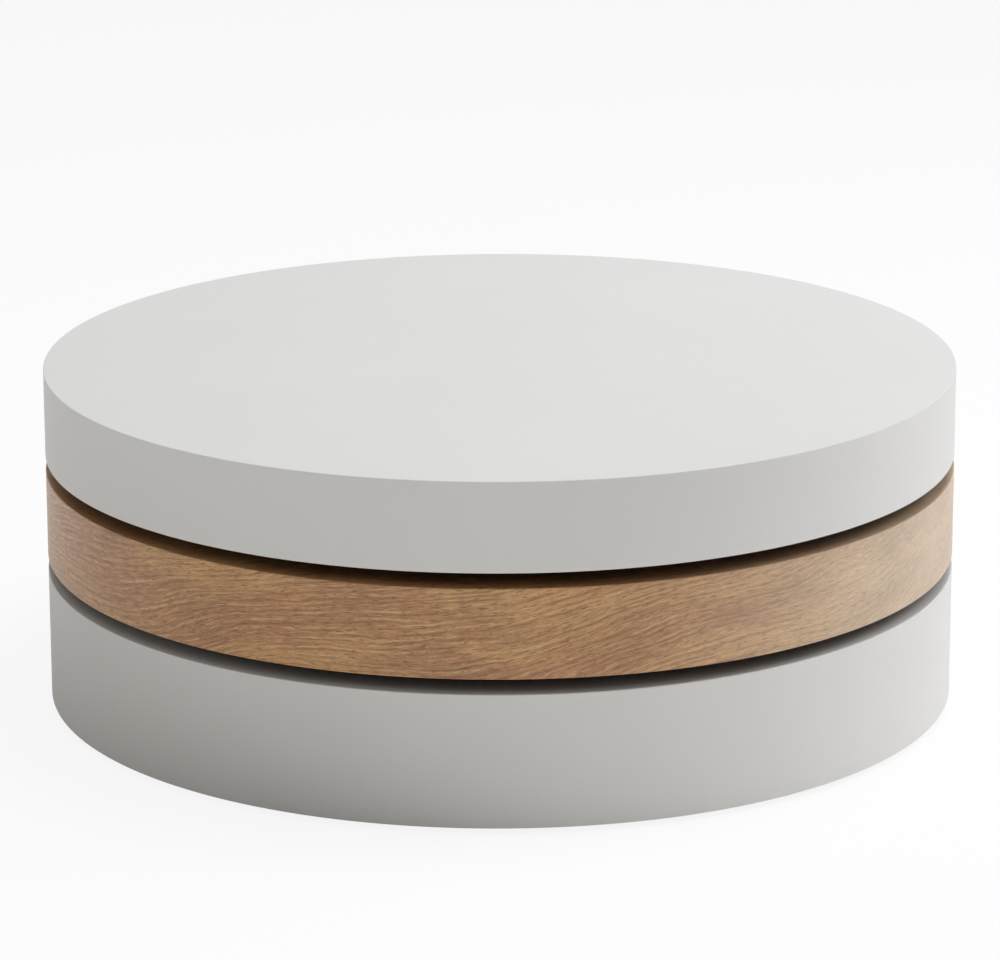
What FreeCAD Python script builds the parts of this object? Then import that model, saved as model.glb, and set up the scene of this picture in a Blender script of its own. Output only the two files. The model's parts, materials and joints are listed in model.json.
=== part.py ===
"""Round three-tier swivel coffee table, as a parametric FreeCAD document.

Three hollow drums of one diameter are stacked with an open gap between them.  A pivot bolt near
the back rim goes up through all three, and the middle and the top drum swing out round it.  In
each gap the upper drum runs on a caged ring of steel rollers between two steel plates.

Millimetres.  +Z is up, the floor is Z = 0, the drums' common axis is the Z axis, and the pivot
lies on the +Y side of it.
"""

import FreeCAD, Part
import Sketcher
import os
import re

DOCUMENT = "SwivelCoffeeTable"
SHEET = "Sizes"

# name: (millimetres or a count, what it sets)
SIZES = {
    "table_diameter": (800, "outside diameter of every drum"),
    "base_height": (115, "base drum, edge to edge"),
    "middle_height": (77, "middle drum, edge to edge"),
    "top_height": (77, "top drum, edge to edge"),
    "tier_gap": (13, "open gap between two drums"),
    "lid_thickness": (15, "board on top of a drum"),
    "floor_thickness": (12, "board that closes a drum below"),
    "rim_thickness": (5, "bent band round a drum"),
    "rib_thickness": (15, "board of the half-lapped ribs"),
    "rib_clearance": (12.5, "pivot block to the ribs round it"),
    "lap_clearance": (0.2, "play in a half-lap slot, all told"),
    "foot_height": (5, "floor to the base drum"),
    "foot_diameter": (30, "nylon foot"),
    "foot_inset": (45, "rim to the middle of a foot"),
    "foot_count": (6, "feet, evenly spaced"),
    "pivot_inset": (160, "rim to the pivot axis"),
    "block_size": (200, "side of a pivot block"),
    "spindle_diameter": (20, "pivot bolt's shank"),
    "running_clearance": (0.05, "bolt to tube or bush, on the radius"),
    "hole_clearance": (0.5, "bolt to a hole that it only passes, on the radius"),
    "tube_wall": (3, "wall of the pivot tube and bush"),
    "bush_length": (37, "bush in the top drum"),
    "end_float": (0.1, "play under the upper washer"),
    "washer_size": (38, "side of both square washers"),
    "washer_thickness": (3, "both square washers"),
    "hex_across_flats": (30, "bolt head and nut"),
    "bolt_head_height": (12.5, "hexagon head"),
    "nut_height": (16, "self-locking nut"),
    "bolt_proud": (3, "bolt end past the nut"),
    "recess_diameter": (60, "round recess for the bolt head"),
    "nut_pocket_size": (60, "side of the square pocket that the nut and its washer stand free in"),
    "head_recess": (18, "underside of the base to the lower washer's seat"),
    "plate_size": (190, "side of a race plate"),
    "plate_thickness": (2.5, "race plate"),
    "plate_corner": (14, "race plate's clipped corners, along each side"),
    "roller_circle": (66, "pivot axis to the middle of a roller"),
    "roller_length": (14, "steel roller"),
    "roller_count": (6, "rollers in a ring"),
    "roller_clearance": (0.05, "roller to each race plate"),
    "cage_thickness": (4, "nylon roller cage"),
    "cage_border": (5, "rollers' outer ends to the cage's flats"),
    "cage_play": (0.2, "roller to the sides of its window"),
    "glide_diameter": (24, "nylon glide under a swinging drum"),
    "glide_clearance": (0.3, "glide to the drum below"),
    "glide_spread": (150, "drum axis to a glide, sideways"),
    "glide_inset": (150, "rim to the middle of a glide, along the radius"),
}

# Sizes that follow from the driving ones.
RIM_OUTER = "(table_diameter / 2)"
RIM_INNER = f"({RIM_OUTER} - rim_thickness)"
PIVOT_OFFSET = f"({RIM_OUTER} - pivot_inset)"
GLIDE_FORWARD = f"(sqrt(({RIM_OUTER} - glide_inset) ^ 2 - glide_spread ^ 2))"
SPINDLE_RADIUS = "(spindle_diameter / 2)"
TUBE_INNER = f"({SPINDLE_RADIUS} + running_clearance)"
TUBE_OUTER = f"({TUBE_INNER} + tube_wall)"
PASSING_HOLE = f"({SPINDLE_RADIUS} + hole_clearance)"
RECESS_RADIUS = "(recess_diameter / 2)"
ROLLER_REACH = "(roller_circle + roller_length / 2)"
ROLLER_RADIUS = "(tier_gap / 2 - plate_thickness - roller_clearance)"

# Drum axis to the middle of a rib: those along Y pass beside the pivot block, those along X in
# front of it.
BLOCK_TO_RIB = "(block_size / 2 + rib_clearance + rib_thickness / 2)"
SIDE_RIBS = BLOCK_TO_RIB
FRONT_RIBS = f"({PIVOT_OFFSET} - {BLOCK_TO_RIB})"

# Heights of the three drums' lower and upper edges.
BASE_LOW = "foot_height"
BASE_TOP = f"({BASE_LOW} + base_height)"
MIDDLE_LOW = f"({BASE_TOP} + tier_gap)"
MIDDLE_TOP = f"({MIDDLE_LOW} + middle_height)"
TOP_LOW = f"({MIDDLE_TOP} + tier_gap)"
BUSH_TOP = f"({TOP_LOW} + bush_length)"
WASHER_SEAT = f"({BASE_LOW} + head_recess)"
HEAD_SEAT = f"({WASHER_SEAT} - washer_thickness)"
NUT_WASHER_LOW = f"({BUSH_TOP} + end_float)"
NUT_LOW = f"({NUT_WASHER_LOW} + washer_thickness)"
BOLT_TOP = f"({NUT_LOW} + nut_height + bolt_proud)"

doc = FreeCAD.newDocument(DOCUMENT)
sub_parts = []


# ---------------------------------------------------------------- sheet and expressions

def write_sheet():
    """Put each driving size, its name and its meaning into one row of the sheet."""
    sheet = doc.addObject("Spreadsheet::Sheet", SHEET)
    for row, (alias, (value, meaning)) in enumerate(SIZES.items(), start=1):
        sheet.set(f"A{row}", alias)
        sheet.set(f"B{row}", str(value))
        sheet.set(f"C{row}", meaning)
        sheet.setAlias(f"B{row}", alias)
    doc.recompute()
    return sheet


def linked(text):
    """The expression with every size's name pointed at its cell."""
    return re.sub(r"[a-z_]+", lambda word: f"{SHEET}.{word[0]}" if word[0] in SIZES else word[0], text)


def number(text):
    """What the expression gives now."""
    return float(sheet.evalExpression(linked(text)))


# ---------------------------------------------------------------- bodies, sketches, features

def new_body(label, x="0", y="0", z="0"):
    """An empty body for one sub-part, standing at x, y, z."""
    body = doc.addObject("PartDesign::Body", label)
    body.Label = label
    for axis, text in (("x", x), ("y", y), ("z", z)):
        body.setExpression(f"Placement.Base.{axis}", linked(text))
    sub_parts.append(body)
    return body


def datum(body, role):
    """One of the body's own origin planes or axes."""
    return next(item for item in body.Origin.OriginFeatures if item.Role == role)


def new_sketch(body, name, plane="XY_Plane", lift="0"):
    """A sketch on an origin plane, lifted along that plane's normal."""
    sketch = body.newObject("Sketcher::SketchObject", name)
    sketch.AttachmentSupport = [(datum(body, plane), "")]
    sketch.MapMode = "FlatFace"
    sketch.setExpression("AttachmentOffset.Base.z", linked(lift))
    return sketch


def drive(sketch, kind, *arguments):
    """Add a driven dimension; the last argument is its expression."""
    *where, text = arguments
    index = sketch.addConstraint(Sketcher.Constraint(kind, *where, number(text)))
    sketch.setExpression(f"Constraints[{index}]", linked(text))


def place_point(sketch, geometry, end, x, y):
    """Hold one point of the sketch at x, y."""
    for kind, text in (("DistanceX", x), ("DistanceY", y)):
        drive(sketch, kind, -1, 1, geometry, end, text)


def add_circle(sketch, radius, x="0", y="0"):
    """A circle, dimensioned from the sketch's origin."""
    centre = FreeCAD.Vector(number(x), number(y), 0)
    circle = sketch.addGeometry(Part.Circle(centre, FreeCAD.Vector(0, 0, 1), number(radius)))
    place_point(sketch, circle, 3, x, y)
    drive(sketch, "Radius", circle, radius)


def add_outline(sketch, corners):
    """A closed outline of straight lines through the corners, each corner dimensioned."""
    points = [FreeCAD.Vector(number(x), number(y), 0) for x, y in corners]
    lines = [
        sketch.addGeometry(Part.LineSegment(start, end))
        for start, end in zip(points, points[1:] + points[:1])
    ]
    for line, after in zip(lines, lines[1:] + lines[:1]):
        sketch.addConstraint(Sketcher.Constraint("Coincident", line, 2, after, 1))
    for line, (x, y) in zip(lines, corners):
        place_point(sketch, line, 1, x, y)


def add_rectangle(sketch, half_width, half_depth, x="0", y="0"):
    """A rectangle centred on x, y."""
    low_x, high_x = f"({x}) - ({half_width})", f"({x}) + ({half_width})"
    low_y, high_y = f"({y}) - ({half_depth})", f"({y}) + ({half_depth})"
    add_outline(sketch, [(low_x, low_y), (high_x, low_y), (high_x, high_y), (low_x, high_y)])


def add_hexagon(sketch, across_flats):
    """A hexagon centred on the sketch's origin, with two corners on its X axis."""
    flat = f"{across_flats} / 2"
    corner = f"{across_flats} / sqrt(3)"
    half = f"{across_flats} / sqrt(12)"
    add_outline(sketch, [
        (corner, "0"), (half, flat), (f"0 - {half}", flat),
        (f"0 - {corner}", "0"), (f"0 - {half}", f"0 - {flat}"), (half, f"0 - {flat}"),
    ])


def pad(body, sketch, length, both_ways=False):
    """Grow the sketch by a length, to one side or evenly to both."""
    feature = body.newObject("PartDesign::Pad", f"{sketch.Name}_pad")
    feature.Profile = sketch
    feature.setExpression("Length", linked(length))
    feature.Midplane = both_ways
    return feature


def pocket(body, sketch, depth, upwards):
    """Cut the sketch to a depth below it or, if upwards, above it."""
    doc.recompute()
    before = body.Shape.Volume
    feature = body.newObject("PartDesign::Pocket", f"{sketch.Name}_pocket")
    feature.Profile = sketch
    feature.Reversed = upwards
    feature.setExpression("Length", linked(depth))
    doc.recompute()
    if body.Shape.Volume >= before:
        raise RuntimeError(f"{feature.Name} cuts nothing")
    return feature


def repeat_round(body, feature, count):
    """Copies of a feature, evenly round the body's Z axis."""
    pattern = body.newObject("PartDesign::PolarPattern", f"{feature.Name}_round")
    pattern.Originals = [feature]
    pattern.Axis = (datum(body, "Z_Axis"), [""])
    pattern.Angle = 360
    pattern.setExpression("Occurrences", linked(count))
    body.Tip = pattern
    return pattern


def mirror(body, feature, plane):
    """A second copy of a feature, across one of the body's origin planes."""
    mirrored = body.newObject("PartDesign::Mirrored", f"{feature.Name}_mirror")
    mirrored.Originals = [feature]
    mirrored.MirrorPlane = (datum(body, plane), [""])
    body.Tip = mirrored
    return mirrored


# ---------------------------------------------------------------- drums

def make_lid(tier, top, bore=None):
    """The board on top of a drum, bored for what goes up through it at the pivot."""
    body = new_body(f"{tier}_lid", z=f"{top} - lid_thickness")
    outline = new_sketch(body, f"{tier}_lid_outline")
    add_circle(outline, RIM_OUTER)
    if bore:
        add_circle(outline, bore, y=PIVOT_OFFSET)
    pad(body, outline, "lid_thickness")


def make_rim(tier, low, height):
    """The bent band round a drum, from its lower edge up to the lid."""
    body = new_body(f"{tier}_rim_band", z=low)
    ring = new_sketch(body, f"{tier}_rim_ring")
    add_circle(ring, RIM_OUTER)
    add_circle(ring, RIM_INNER)
    pad(body, ring, f"{height} - lid_thickness")


def make_floor(tier, low, bore):
    """The board that closes a drum below, let into the band, bored at the pivot."""
    body = new_body(f"{tier}_floor", z=low)
    outline = new_sketch(body, f"{tier}_floor_outline")
    add_circle(outline, RIM_INNER)
    add_circle(outline, bore, y=PIVOT_OFFSET)
    pad(body, outline, "floor_thickness")


def rib_profile(sketch, slotted_edge, slot_end, plain_edge, own_offset, crossing):
    """Side view of a rib that spans the drum at its own offset, with a half-lap slot at each crossing.

    The slots run from the slotted edge to the slot end; the other edge is plain."""
    reach = f"(sqrt({RIM_INNER} ^ 2 - ({own_offset} + rib_thickness / 2) ^ 2) - lap_clearance)"
    near = f"({crossing} - (rib_thickness + lap_clearance) / 2)"
    far = f"({crossing} + (rib_thickness + lap_clearance) / 2)"
    right = [(far, slotted_edge), (far, slot_end), (near, slot_end), (near, slotted_edge)]
    left = [(f"0 - {x}", z) for x, z in reversed(right)]
    add_outline(sketch, [
        (f"0 - {reach}", plain_edge), (reach, plain_edge), (reach, slotted_edge),
        *right, *left, (f"0 - {reach}", slotted_edge),
    ])


def make_ribs(tier, low, height):
    """Two ribs along X and two across them, half-lapped where they cross."""
    cavity = f"({height} - lid_thickness - floor_thickness)"
    lap = f"({cavity} / 2)"
    for name, plane, slotted_edge, plain_edge, own_offset, crossing in (
        ("long_ribs", "XZ_Plane", cavity, "0", FRONT_RIBS, SIDE_RIBS),
        ("cross_ribs", "YZ_Plane", "0", cavity, SIDE_RIBS, FRONT_RIBS),
    ):
        body = new_body(f"{tier}_{name}", z=f"{low} + floor_thickness")
        profile = new_sketch(body, f"{tier}_{name}_profile", plane, own_offset)
        rib_profile(profile, slotted_edge, lap, plain_edge, own_offset, crossing)
        rib = pad(body, profile, "rib_thickness", both_ways=True)
        mirror(body, rib, plane)


def make_block(tier, low, height, bore):
    """The solid block under the race plates, bored for the pivot."""
    body = new_body(f"{tier}_pivot_block", y=PIVOT_OFFSET, z=f"{low} + floor_thickness")
    outline = new_sketch(body, f"{tier}_block_outline")
    add_rectangle(outline, "block_size / 2", "block_size / 2")
    add_circle(outline, bore)
    pad(body, outline, f"{height} - lid_thickness - floor_thickness")
    return body


def make_drum(tier, low, height, floor_bore, block_bore, lid_bore):
    """Band, lid, floor, ribs and pivot block of one drum; gives back the block."""
    make_rim(tier, low, height)
    make_lid(tier, f"({low} + {height})", lid_bore)
    make_floor(tier, low, floor_bore)
    make_ribs(tier, low, height)
    return make_block(tier, low, height, block_bore)


def make_drums():
    """The base, the middle and the top drum."""
    base_block = make_drum(
        "base", BASE_LOW, "base_height", RECESS_RADIUS, PASSING_HOLE, PASSING_HOLE)
    head_pocket = new_sketch(base_block, "head_pocket")
    add_circle(head_pocket, RECESS_RADIUS)
    pocket(base_block, head_pocket, "head_recess - floor_thickness", upwards=True)
    make_drum("middle", MIDDLE_LOW, "middle_height", TUBE_OUTER, TUBE_OUTER, TUBE_OUTER)
    top_block = make_drum("top", TOP_LOW, "top_height", TUBE_OUTER, TUBE_OUTER, None)
    nut_pocket = new_sketch(top_block, "nut_pocket", lift="bush_length - floor_thickness")
    add_rectangle(nut_pocket, "nut_pocket_size / 2", "nut_pocket_size / 2")
    pocket(top_block, nut_pocket, "top_height - lid_thickness - bush_length", upwards=True)


# ---------------------------------------------------------------- feet and glides

def make_feet():
    """Nylon feet under the base, in a ring that starts behind the pivot."""
    body = new_body("base_feet")
    section = new_sketch(body, "foot_outline")
    add_circle(section, "foot_diameter / 2", y="table_diameter / 2 - foot_inset")
    foot = pad(body, section, "foot_height")
    repeat_round(body, foot, "foot_count")


def make_glides(tier, low):
    """Two nylon glides under a swinging drum, far from the pivot, just clear of the drum below."""
    body = new_body(f"{tier}_glides", z=f"{low} - tier_gap + glide_clearance")
    section = new_sketch(body, f"{tier}_glide_outline")
    add_circle(section, "glide_diameter / 2", x="glide_spread", y=f"0 - {GLIDE_FORWARD}")
    glide = pad(body, section, "tier_gap - glide_clearance")
    mirror(body, glide, "YZ_Plane")


# ---------------------------------------------------------------- pivot

def make_tube(label, low, high):
    """A steel tube that turns on the bolt's shank."""
    body = new_body(label, y=PIVOT_OFFSET, z=low)
    ring = new_sketch(body, f"{label}_ring")
    add_circle(ring, TUBE_OUTER)
    add_circle(ring, TUBE_INNER)
    pad(body, ring, f"{high} - {low}")


def make_pivot_bolt():
    """The long hexagon bolt that carries both upper drums."""
    body = new_body("pivot_bolt", y=PIVOT_OFFSET, z=f"{HEAD_SEAT} - bolt_head_height")
    head = new_sketch(body, "bolt_head")
    add_hexagon(head, "hex_across_flats")
    pad(body, head, "bolt_head_height")
    shank = new_sketch(body, "bolt_shank", lift="bolt_head_height")
    add_circle(shank, SPINDLE_RADIUS)
    pad(body, shank, f"{BOLT_TOP} - {HEAD_SEAT}")


def make_pivot_nut():
    """The self-locking nut inside the top drum."""
    body = new_body("pivot_nut", y=PIVOT_OFFSET, z=NUT_LOW)
    outline = new_sketch(body, "nut_outline")
    add_hexagon(outline, "hex_across_flats")
    add_circle(outline, SPINDLE_RADIUS)
    pad(body, outline, "nut_height")


def make_pivot_washers():
    """The square washers over the bolt head and under the nut."""
    body = new_body("pivot_washers", y=PIVOT_OFFSET, z=HEAD_SEAT)
    for name, lift in (("head_washer", "0"), ("nut_washer", f"{NUT_WASHER_LOW} - {HEAD_SEAT}")):
        ring = new_sketch(body, name, lift=lift)
        add_rectangle(ring, "washer_size / 2", "washer_size / 2")
        add_circle(ring, TUBE_INNER)
        pad(body, ring, "washer_thickness")


# ---------------------------------------------------------------- roller races

def make_race_plate(label, low):
    """A square steel plate with clipped corners and a hole for the bolt."""
    body = new_body(label, y=PIVOT_OFFSET, z=low)
    outline = new_sketch(body, f"{label}_outline")
    add_rectangle(outline, "plate_size / 2", "plate_size / 2")
    pad(body, outline, "plate_thickness")
    doc.recompute()
    square = body.Tip
    upright = [
        f"Edge{index}" for index, edge in enumerate(square.Shape.Edges, start=1)
        if abs(edge.tangentAt(edge.FirstParameter).z) > 0.9
    ]
    corners = body.newObject("PartDesign::Chamfer", f"{label}_corners")
    corners.Base = (square, upright)
    corners.setExpression("Size", linked("plate_corner"))
    bolt_hole = new_sketch(body, f"{label}_bolt_hole")
    add_circle(bolt_hole, PASSING_HOLE)
    pocket(body, bolt_hole, "plate_thickness", upwards=True)


def make_rollers(label, middle):
    """A ring of steel rollers that lie along the radius."""
    body = new_body(label, y=PIVOT_OFFSET, z=middle)
    section = new_sketch(body, f"{label}_section", "YZ_Plane", "roller_circle")
    add_circle(section, ROLLER_RADIUS)
    roller = pad(body, section, "roller_length", both_ways=True)
    repeat_round(body, roller, "roller_count")


def make_cage(label, middle):
    """The nylon hexagon that spaces the rollers, one towards each corner; the bolt centres it."""
    body = new_body(label, y=PIVOT_OFFSET, z=middle)
    web = new_sketch(body, f"{label}_web", lift="0 - cage_thickness / 2")
    add_hexagon(web, f"(2 * ({ROLLER_REACH} + cage_border))")
    add_circle(web, PASSING_HOLE)
    pad(body, web, "cage_thickness")
    window = new_sketch(body, f"{label}_window", lift="0 - cage_thickness / 2")
    add_rectangle(
        window, "roller_length / 2 + cage_play", f"{ROLLER_RADIUS} + cage_play", x="roller_circle")
    repeat_round(body, pocket(body, window, "cage_thickness", upwards=True), "roller_count")


def make_race(position, low, drum_below, drum_above):
    """Plates, rollers and cage in the gap whose lower side is at this height."""
    middle = f"{low} + tier_gap / 2"
    make_race_plate(f"{drum_below}_upper_race_plate", low)
    make_race_plate(f"{drum_above}_lower_race_plate", f"{low} + tier_gap - plate_thickness")
    make_rollers(f"{position}_rollers", middle)
    make_cage(f"{position}_roller_cage", middle)


# ---------------------------------------------------------------- checks and files

def check_document():
    """Stop where an object failed or a sub-part has no sound solid."""
    for item in doc.Objects:
        if {"Invalid", "Error"} & set(item.State):
            raise RuntimeError(f"{item.Name}: {item.State}")
    for item in sub_parts:
        if item.Shape.isNull() or not item.Shape.isValid() or not item.Shape.Solids:
            raise RuntimeError(f"{item.Label} has no sound solid")


def export_sub_parts():
    """Write each sub-part to its own file."""
    os.makedirs("parts", exist_ok=True)
    for item in sub_parts:
        item.Shape.exportStep(f"parts/{item.Label}.step")
        box = item.Shape.BoundBox
        print(f"{item.Label:30s} solids {len(item.Shape.Solids):3d}"
              f"  z {box.ZMin:7.2f} to {box.ZMax:7.2f}  volume {item.Shape.Volume / 1000:9.2f} cm3")


sheet = write_sheet()
make_drums()
make_feet()
make_glides("middle", MIDDLE_LOW)
make_glides("top", TOP_LOW)
make_pivot_bolt()
make_pivot_nut()
make_pivot_washers()
make_tube("middle_pivot_tube", MIDDLE_LOW, MIDDLE_TOP)
make_tube("top_pivot_bush", TOP_LOW, BUSH_TOP)
make_race("lower", BASE_TOP, "base", "middle")
make_race("upper", MIDDLE_TOP, "middle", "top")
doc.recompute()
check_document()
export_sub_parts()
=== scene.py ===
"""Looks of a round three-tier swivel coffee table: lacquered and oak drums on a pivot bolt.

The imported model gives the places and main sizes.  Casings, floor boards, race plates, rollers, feet,
glides, bolt, nut and washers are worked out here as smooth surfaces with rounded edges, and screws
are added; what stays inside keeps its solid and only gets its finish.  Metres, +Z up, back at +Y.
"""

import json
import logging
import math
from dataclasses import dataclass, replace
from enum import Enum
from typing import Any, Iterable, Optional, Sequence, Union

import bmesh
import bpy
import numpy as np
import numpy.typing as npt
from mathutils import Euler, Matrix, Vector


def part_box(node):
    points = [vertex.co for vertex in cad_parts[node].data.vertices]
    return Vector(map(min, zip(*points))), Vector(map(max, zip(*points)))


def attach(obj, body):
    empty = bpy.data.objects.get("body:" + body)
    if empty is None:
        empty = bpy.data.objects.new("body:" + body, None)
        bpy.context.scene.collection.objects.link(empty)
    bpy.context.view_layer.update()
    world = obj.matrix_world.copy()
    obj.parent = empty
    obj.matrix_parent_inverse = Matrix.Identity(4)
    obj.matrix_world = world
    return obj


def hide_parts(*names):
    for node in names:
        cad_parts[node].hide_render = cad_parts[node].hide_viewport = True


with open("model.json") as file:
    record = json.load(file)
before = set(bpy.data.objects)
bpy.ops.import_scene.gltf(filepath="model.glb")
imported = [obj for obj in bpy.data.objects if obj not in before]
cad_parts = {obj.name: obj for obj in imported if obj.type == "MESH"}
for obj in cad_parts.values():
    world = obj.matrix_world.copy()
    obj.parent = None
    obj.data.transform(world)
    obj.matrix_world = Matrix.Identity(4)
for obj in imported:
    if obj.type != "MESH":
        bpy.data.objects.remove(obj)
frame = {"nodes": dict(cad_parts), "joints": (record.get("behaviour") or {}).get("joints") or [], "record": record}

Array = npt.NDArray[np.float64]
Quads = npt.NDArray[np.int64]
Span = tuple[float, float]
Colour = tuple[float, float, float]
Tone = Union[bpy.types.NodeSocket, Colour]
Amount = Union["Term", float]

LOG = logging.getLogger("swivel_table")
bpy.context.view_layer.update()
MM = 0.001
QUARTER = math.pi / 2
FULL = 2 * math.pi

GRAIN_MAP = "grain"         # the UV map that the veneer follows
CREASE = math.radians(35)   # an edge that turns more than this stays sharp
WELD = 1e-7                 # points closer than this become one

WHITE = (1.0, 1.0, 1.0)
GLOSS_SEES = 0.5            # how much of the white surroundings shows in a gloss

IMAGE_WIDTH = 1000
SENSOR_WIDTH = 36.0


# ---------------------------------------------------------------- surfaces

class Chart(Enum):
    """How the grain's map lies on a stretch of a loft."""

    PLAN = "x and y as they lie"
    WALL = "length round the outline, and height"


@dataclass(frozen=True)
class Level:
    """One outline of a loft.

    outline holds the corners in plan, one row each; chart is how the stretch from this level to the
    next is mapped.
    """

    outline: Array
    height: float
    chart: Chart = Chart.WALL


@dataclass(frozen=True)
class Skin:
    """A surface of quads as whole arrays: corners, quads, and the map's place of each quad corner."""

    points: Array
    quads: Quads
    chart: Array

    def turned(self, x: float = 0.0, y: float = 0.0, z: float = 0.0) -> "Skin":
        """The same surface, turned about the origin: first about x, then y, then z."""
        matrix = np.array(Euler((x, y, z)).to_matrix())
        return replace(self, points=self.points @ matrix.T)

    def shifted(self, x: float, y: float, z: float = 0.0) -> "Skin":
        """The same surface, moved without a turn."""
        return replace(self, points=self.points + np.array([x, y, z]))

    @staticmethod
    def joined(skins: Iterable["Skin"]) -> "Skin":
        """Put surfaces together, with their quads renumbered.

        Args:
            skins: the surfaces, at least one.

        Returns:
            All of them as one.
        """
        parts = list(skins)
        starts = np.cumsum([0] + [len(part.points) for part in parts[:-1]])
        return Skin(
            np.vstack([part.points for part in parts]),
            np.vstack([part.quads + start for part, start in zip(parts, starts)]),
            np.vstack([part.chart for part in parts]),
        )

    def build(self, name: str) -> bpy.types.Object:
        """Put the surface into a mesh object: poles merged, faces pointing out, sharp edges kept.

        Args:
            name: the piece's name.

        Returns:
            The object, at the origin.
        """
        mesh = bpy.data.meshes.new(name)
        mesh.from_pydata(self.points.tolist(), [], self.quads.tolist())
        layer = mesh.uv_layers.new(name=GRAIN_MAP)
        layer.data.foreach_set("uv", self.chart.ravel())
        mesh.polygons.foreach_set("use_smooth", np.ones(len(self.quads), bool))
        edit = bmesh.new()
        edit.from_mesh(mesh)
        bmesh.ops.remove_doubles(edit, verts=edit.verts, dist=WELD)
        bmesh.ops.recalc_face_normals(edit, faces=edit.faces)
        edit.to_mesh(mesh)
        edit.free()
        mesh.set_sharp_from_angle(angle=CREASE)
        piece = bpy.data.objects.new(name, mesh)
        bpy.context.scene.collection.objects.link(piece)
        return piece


def angles(steps: int) -> Array:
    """Bearings from the front, -pi to pi, so that an outline's seam is at the back."""
    return np.linspace(-math.pi, math.pi, steps, endpoint=False)


def plan(reach: Union[float, Array], bearing: Array) -> Array:
    """Places in plan, x = reach sin(bearing) and y = -reach cos(bearing), as a last axis of two."""
    return np.stack([reach * np.sin(bearing), -reach * np.cos(bearing)], axis=-1)


def circle(radius: float, steps: int, back: float = 0.0) -> Array:
    """A circle in plan of this radius, its middle shifted back."""
    return plan(radius, angles(steps)) + np.array([0.0, back])


def rounded_polygon(sides: int, apothem: float, corner: float, steps: int) -> Array:
    """A regular polygon with round corners, by bearing.

    With f the bearing folded about the nearest flat's middle and h half a side's angle, the edge
    is apothem / cos(f) away on the flat.  Past the flat's end it is on an arc of radius corner
    about a hub at (apothem - corner) / cos(h): hub cos(d) + sqrt(corner^2 - (hub sin(d))^2), where
    d = h - |f|.

    Args:
        sides: number of flats.
        apothem: centre to flat.
        corner: corner radius.
        steps: number of points.

    Returns:
        The outline, one row for each bearing.
    """
    bearing = angles(steps)
    half = math.pi / sides
    folded = np.abs((bearing + half) % (2 * half) - half)
    hub = (apothem - corner) / math.cos(half)
    short = half - folded
    arc = hub * np.cos(short) + np.sqrt(np.maximum(corner**2 - (hub * np.sin(short)) ** 2, 0.0))
    on_flat = apothem * np.tan(folded) <= (apothem - corner) * math.tan(half)
    return plan(np.where(on_flat, apothem / np.cos(folded), arc), bearing)


def clipped_square(half: float, clip: float, steps: int) -> Array:
    """A square whose corners are cut off straight, by bearing.

    With f the bearing folded about the nearest flat's middle, the edge is the nearer of
    half / cos(f) and (2 half - clip) / sqrt(2) / cos(45 degrees - |f|).

    Args:
        half: centre to flat.
        clip: what each cut takes off a side.
        steps: number of points.

    Returns:
        The outline, one row for each bearing.
    """
    bearing = angles(steps)
    folded = np.abs((bearing + QUARTER / 2) % QUARTER - QUARTER / 2)
    cut = (2 * half - clip) / math.sqrt(2) / np.cos(QUARTER / 2 - folded)
    return plan(np.minimum(half / np.cos(folded), cut), bearing)


def wrapped_quads(levels: int, steps: int, closed: bool) -> Quads:
    """Quads between levels i, i + 1 and steps j, j + 1 of a grid whose steps wrap round.

    Args:
        levels: number of levels.
        steps: points of each level.
        closed: whether the levels wrap round too.

    Returns:
        Four point numbers a row.
    """
    row, step = np.meshgrid(np.arange(levels - 1 + int(closed)), np.arange(steps), indexing="ij")
    above = (row + 1) % levels
    after = (step + 1) % steps
    corners = [row * steps + step, row * steps + after, above * steps + after, above * steps + step]
    return np.stack(corners, axis=-1).reshape(-1, 4)


def loft(levels: Sequence[Level], closed: bool = False, zero: int = 0) -> Skin:
    """Skin a stack of outlines that have as many points as each other.

    The point of level i and step j is (outline_i[j], height_i).  The map is x, y on a plan stretch;
    on a wall stretch it is the length round the outline, zero at the front, and the length back
    along the profile.

    Args:
        levels: the outlines in order.
        closed: whether the last level joins the first, as on a ring.
        zero: the level at which the length along the profile is zero.

    Returns:
        The surface.
    """
    steps = len(levels[0].outline)
    rows = len(levels) + int(closed)
    ordered = [levels[i % len(levels)] for i in range(rows)]
    outlines = np.vstack([level.outline for level in levels])
    points = np.column_stack([outlines, np.repeat([level.height for level in levels], steps)])

    wrapped = np.stack([np.vstack([level.outline, level.outline[:1]]) for level in ordered])
    strides = np.linalg.norm(np.diff(wrapped, axis=1), axis=2)
    along = np.concatenate([np.zeros((rows, 1)), np.cumsum(strides, axis=1)], axis=1)
    along -= along[:, -1:] / 2
    rise = np.diff([level.height for level in ordered])
    run = np.linalg.norm(np.diff(wrapped[:, steps // 2], axis=0), axis=1)
    up = np.concatenate([[0.0], np.cumsum(np.hypot(rise, run))])
    up = up[zero] - up
    wall = np.stack([along, np.repeat(up[:, None], steps + 1, axis=1)], axis=-1)
    flat = np.array([level.chart is Chart.PLAN for level in ordered[:-1]])
    corners = []
    for down, side in ((0, 0), (0, 1), (1, 1), (1, 0)):
        rows_here = slice(down, rows - 1 + down)
        steps_here = slice(side, steps + side)
        corners.append(np.where(
            flat[:, None, None], wrapped[rows_here, steps_here], wall[rows_here, steps_here]
        ))
    quads = wrapped_quads(len(levels), steps, closed)
    return Skin(points, quads, np.stack(corners, axis=2).reshape(-1, 4, 2))


def revolved(profile: Iterable[tuple[float, float]], steps: int) -> Skin:
    """A profile, given as radius and height, swept once round the vertical axis."""
    return loft([Level(circle(radius, steps), height) for radius, height in profile])


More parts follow.
